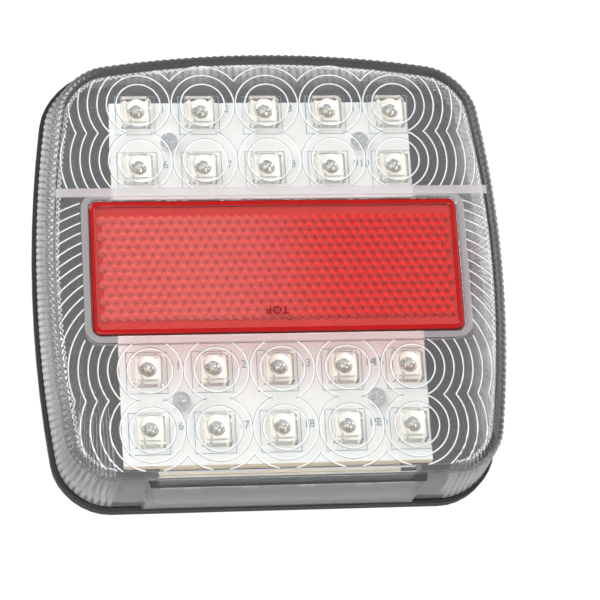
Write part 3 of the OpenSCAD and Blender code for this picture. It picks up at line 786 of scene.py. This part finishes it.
# %% Text as a mesh
def lettering(words, height, thick):
    """Points and triangles of a word, centred, with its face towards -Y and its back at 0."""
    curve = bpy.data.curves.new("words", "FONT")
    curve.body, curve.size, curve.extrude, curve.resolution_u = words, height * 1.4, thick / 2, 3
    curve.align_x, curve.align_y = "CENTER", "CENTER"
    words_object = bpy.data.objects.new("words", curve)
    bpy.context.scene.collection.objects.link(words_object)
    mesh = bpy.data.meshes.new_from_object(
        words_object.evaluated_get(bpy.context.evaluated_depsgraph_get()))
    mesh.calc_loop_triangles()
    flat = np.zeros(len(mesh.vertices) * 3)
    mesh.vertices.foreach_get("co", flat)
    faces = np.zeros(len(mesh.loop_triangles) * 3, int)
    mesh.loop_triangles.foreach_get("vertices", faces)
    bpy.data.objects.remove(words_object)
    bpy.data.meshes.remove(mesh)
    flat = flat.reshape(-1, 3)
    points = np.stack([flat[:, 0], -flat[:, 2] - thick / 2, flat[:, 1]], 1)
    return points, outward(points, faces.reshape(-1, 3))


points, faces = lettering("TOP", 1.9, 0.1)
points = points * [-1, 1, -1] + [-0.6, -24.88, reflector_z - 10.3]
piece("top_mark", [(points, faces, 0)], [red_letter], smooth=0.3)

# %% [markdown]
# ## Print on the board
# Each LED stands in a printed square. The square is a thin closed frame: a small rectangular
# section carried round four corners and shut on itself both ways.

# %% Squares and numbers
board_middle, board_size = place("main_board")
board_front = -(board_middle[1] - board_size[1] / 2)


def print_square(x, z, half, line):
    """Four curves round a square: outside low, outside high, inside high, inside low."""
    turn = np.array([(-1, -1), (1, -1), (1, 1), (-1, 1)])
    rows = [(half, -0.02), (half, 0.03), (half - line, 0.03), (half - line, -0.02)]
    points = np.concatenate([np.stack([x + turn[:, 0] * h, np.full(4, -board_front - d),
                                       z + turn[:, 1] * h], 1) for h, d in rows])
    return points, outward(points, grid(4, 4, along=True))


marks = [(*print_square(x, z, 4.65, 0.15), 0) for x, z in led_spots]
for number, (x, z) in enumerate(led_spots, 1):
    points, faces = lettering(str(number), 1.8, 0.05)
    marks.append((points + [x + 6.5 if x < 25 else x - 6.3, -board_front, z + 1.5], faces, 0))
piece("board_marks", marks, [board_print], smooth=0.3)

# %% [markdown]
# ## The square LEDs
# A square LED is a block of clear resin with a dome, cast round a tinned lead frame. One side of
# the frame carries a small round cup with the chip in it. The resin is a loft from the square,
# with its one cut corner, to a circle and up over the dome, and the metal inside is real too,
# because the resin bends its picture.

# %% Shapes of one LED
LED_W, LED_T, DOME_R, DOME_H = 6.8, 3.6, 2.3, 1.4
led_middle, led_size = place("led_1")
LED_FRONT = led_size[1] / 2 - led_middle[1] - DOME_H
LED_BACK = LED_FRONT - LED_T


def revolve(profile, x, z, steps=36):
    """Rings of (radius, depth) about an axis along Y through x and z."""
    a = np.arange(steps) * 2 * math.pi / steps
    r, d = np.array(profile, float).T
    return loft(np.stack([x + r[:, None] * np.cos(a), np.broadcast_to(-d[:, None], (len(r), steps)),
                          z + r[:, None] * np.sin(a)], 2))


def led_resin_block(x, z):
    """Square curves of growing depth, then circles: radius r cos a at depth front + h sin a."""
    corners = np.array(rectangle(0, 0, LED_W, LED_W, 1.0))
    f = np.arange(12)[:, None] / 12
    square = np.concatenate([p + (q - p) * f
                             for p, q in zip(corners, np.roll(corners, -1, axis=0))])
    turn = np.arctan2(square[:, 1], square[:, 0])
    circle = np.stack([np.cos(turn), np.sin(turn)], 1)
    a = np.radians([0, 12, 26, 40, 54, 68, 80])
    curves = [(square * 0.97, LED_BACK), (square, LED_BACK + 0.15), (square * 0.985, LED_FRONT - 0.2),
              (square * 0.95, LED_FRONT), (circle * (DOME_R + 0.25), LED_FRONT)]
    curves += [(circle * DOME_R * math.cos(v), LED_FRONT + DOME_H * math.sin(v)) for v in a[1:]]
    return loft(np.stack([np.stack([x + p[:, 0], np.full(len(p), -d), z + p[:, 1]], 1)
                          for p, d in curves]))


def led_shapes(x, z):
    plate = LED_FRONT - 1.9
    shapes = [(*led_resin_block(x, z), 0),
              (*tablet(rectangle(x + 0.95, z, 3.9, 4.7), plate - 0.35, plate, 0.05), 1),
              (*tablet(rectangle(x - 2.2, z, 1.3, 4.7), plate - 0.35, plate, 0.05), 1),
              (*revolve([(1.12, plate), (1.1, plate + 0.36), (1.02, plate + 0.42), (0.93, plate + 0.36),
                         (0.5, plate + 0.06), (0.42, plate + 0.04)], x, z), 2),
              (*tablet(rectangle(x, z, 0.36, 0.36), plate + 0.03, plate + 0.22, 0.03), 3)]
    shapes += [(*tablet(rectangle(x + a * 2.5, z + b * 2.5, 0.6, 0.6), board_front, plate - 0.3, 0.04), 1)
               for a in (-1, 1) for b in (-1, 1)]
    return shapes


for number, (x, z) in enumerate(led_spots, 1):
    piece(f"led_cast_{number}", led_shapes(x, z), [led_resin, tinned_frame, cup_metal, led_chip],
          [f"led_{number}"], smooth=math.radians(28))

# %% [markdown]
# ## The number plate's LEDs
# These are flat white packages: a case with a round dish of yellow phosphor that looks down.

# %% Plate LEDs
for number in range(1, 5):
    middle, size = place(f"plate_led_{number}")
    low, high = middle[2] - size[2] / 2, middle[2] + size[2] / 2
    case = tablet(rectangle(0, 0, size[0], size[1]), 0, size[2], 0.12)
    dish = revolve([(1.1, size[2] - 0.05), (1.05, size[2] + 0.0), (0.9, size[2] + 0.02)], 0, 0, 28)
    shapes = [(p[:, [0, 2, 1]] * [1, 1, 1] + [middle[0], middle[1], high], f[:, ::-1], m)
              for (p, f), m in ((case, 0), (dish, 1))]
    shapes = [(np.where([False, False, True], np.maximum(p, low), p), outward(p, f), m)
              for p, f, m in shapes]
    piece(f"plate_led_case_{number}", shapes, [white_case, phosphor],
          [f"plate_led_{number}"], smooth=math.radians(25))

# %% [markdown]
# ## Threaded studs
# A thread is a helix: on a grid of depth and angle the radius falls and rises once per pitch, and
# the place in that wave moves on by one pitch for each turn. The stud also has its plain shoulder
# and its hexagonal head, which sit inside the housing.

# %% Studs
STUD_R, THREAD_PITCH, THREAD_H, SHOULDER, SEAT, HEAD = 2.5, 0.8, 0.42, 2.8, 4.5, 8.0
for side in ("left", "right"):
    middle, size = place(f"mounting_stud_{side}")
    tip = middle[1] + size[1] / 2
    a = np.arange(48) * math.pi / 24
    y = np.arange(0.6, tip - 0.5, 0.1)
    wave = np.abs(((y[:, None] / THREAD_PITCH - a[None] / (2 * math.pi)) % 1.0) * 2 - 1)
    rows = [(np.full(48, 1.6), tip), (np.full(48, 2.0), tip - 0.3)]
    rows += [(STUD_R - THREAD_H * w, d) for w, d in zip(wave[::-1], y[::-1])]
    rows += [(np.full(48, STUD_R), 0.1), (np.full(48, SHOULDER), -0.02), (np.full(48, SHOULDER), -SEAT)]
    sector = (a + math.pi / 6) % (math.pi / 3) - math.pi / 6
    rows += [(4.0 / np.cos(sector), -SEAT), (4.0 / np.cos(sector), 0.3 - HEAD),
             (3.7 / np.cos(sector * 0.6), -HEAD)]
    curves = np.stack([np.stack([middle[0] + r * np.cos(a), np.full(48, d), middle[2] + r * np.sin(a)], 1)
                       for r, d in rows])
    piece(f"threaded_stud_{side}", [(*loft(curves), 0)], [zinc_plate],
          [f"mounting_stud_{side}"], smooth=math.radians(40))

# %% [markdown]
# ## Finishes for the pieces whose shape is already right
# The housing, the boards, the screws, the seals and the parts behind the board keep the shape that
# they were built with. Only their finish changes.

# %% Dress the remaining nodes
dress = {"rear_housing": black_moulding, "lens_seal": soft_rubber, "cable_grommet": soft_rubber,
         "stud_o_ring_left": soft_rubber, "stud_o_ring_right": soft_rubber,
         "main_board": main_lacquer, "plate_light_board": plate_lacquer,
         "board_screws": zinc_plate, "board_link_pins": pin_gold, "resistors": resistor_paint,
         "diodes": diode_epoxy, "cable_connector": white_nylon}
for name, material in dress.items():
    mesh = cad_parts[name].data
    mesh.materials.clear()
    mesh.materials.append(material)
print("dressed:", len(dress))

# %% [markdown]
# ## Camera
# A long lens from low on the left: the bottom and the left wall of the lamp show, and the lines
# stay almost parallel. The camera's axes are written as three turns.

# %% Camera
YAW, PITCH, ROLL = -0.14, 0.30, 0.06
turn = Matrix.Rotation(YAW, 3, "Z") @ Matrix.Rotation(ROLL, 3, "Y") @ Matrix.Rotation(PITCH, 3, "X")
right, ahead, up = turn.col
camera_data = bpy.data.cameras.new("camera")
camera_data.lens, camera_data.sensor_width = 164.5, 36.0
camera = bpy.data.objects.new("camera", camera_data)
camera.matrix_world = Matrix([(right[k], up[k], -ahead[k], (-0.0876, -0.6013, -0.1921)[k])
                              for k in range(3)] + [(0, 0, 0, 1)])
bpy.context.scene.collection.objects.link(camera)
bpy.context.scene.camera = camera
print("camera at", [round(v, 3) for v in camera.matrix_world.translation])

# %% [markdown]
# ## Studio
# A pale floor well under the lamp, a white room all round it and four large soft lights. The key
# light stands high on the left, so the rounded edges and the LED cups get a clean highlight.

# %% Floor, room and lights
floor_mesh = bpy.data.meshes.new("floor")
FLOOR_HALF, FLOOR_Z = 6, -0.32
floor_corners = [(x * FLOOR_HALF, y * FLOOR_HALF, FLOOR_Z)
                 for x, y in ((-1, -1), (1, -1), (1, 1), (-1, 1))]
floor_mesh.from_pydata(floor_corners, [], [(0, 1, 2, 3)])
material, wire = finish("pale_floor")
spot = here(wire)[0]
floor_shader = wire.add("ShaderNodeBsdfPrincipled", {}, {
    "Base Color": blend(wire, noise(wire, spot, 300.0), (0.88, 0.88, 0.88), (0.92, 0.92, 0.92)),
    "Roughness": 0.7})
floor_mesh.materials.append(done(material, wire, floor_shader))
floor = bpy.data.objects.new("floor", floor_mesh)
bpy.context.scene.collection.objects.link(floor)

world = bpy.data.worlds.new("room")
bpy.context.scene.world = world
world.use_nodes = True
world.node_tree.nodes.clear()
room = Wire(world.node_tree)
seen = room.add("ShaderNodeLightPath", out="Is Camera Ray")
glow = room.add("ShaderNodeBackground", {}, {"Color": (1, 1, 1, 1), "Strength": seen * 0.55 + 0.47})
room.add("ShaderNodeOutputWorld", {}, {"Surface": glow})
bpy.context.scene.view_settings.view_transform = "Standard"


def soft_light(name, at, size, watts):
    """A square soft box that looks at the lamp."""
    data = bpy.data.lights.new(name, "AREA")
    data.shape, data.size, data.energy = "SQUARE", size, watts
    lamp = bpy.data.objects.new(name, data)
    lamp.location = at
    lamp.rotation_euler = (-lamp.location).to_track_quat("-Z", "Y").to_euler()
    bpy.context.scene.collection.objects.link(lamp)


soft_light("key", (-0.7, -0.9, 0.8), 0.6, 10)
soft_light("fill", (0.9, -1.0, 0.3), 0.8, 3.5)
soft_light("low", (-0.2, -0.9, -0.25), 0.5, 3)
soft_light("side", (-1.1, -0.35, -0.1), 0.5, 5)
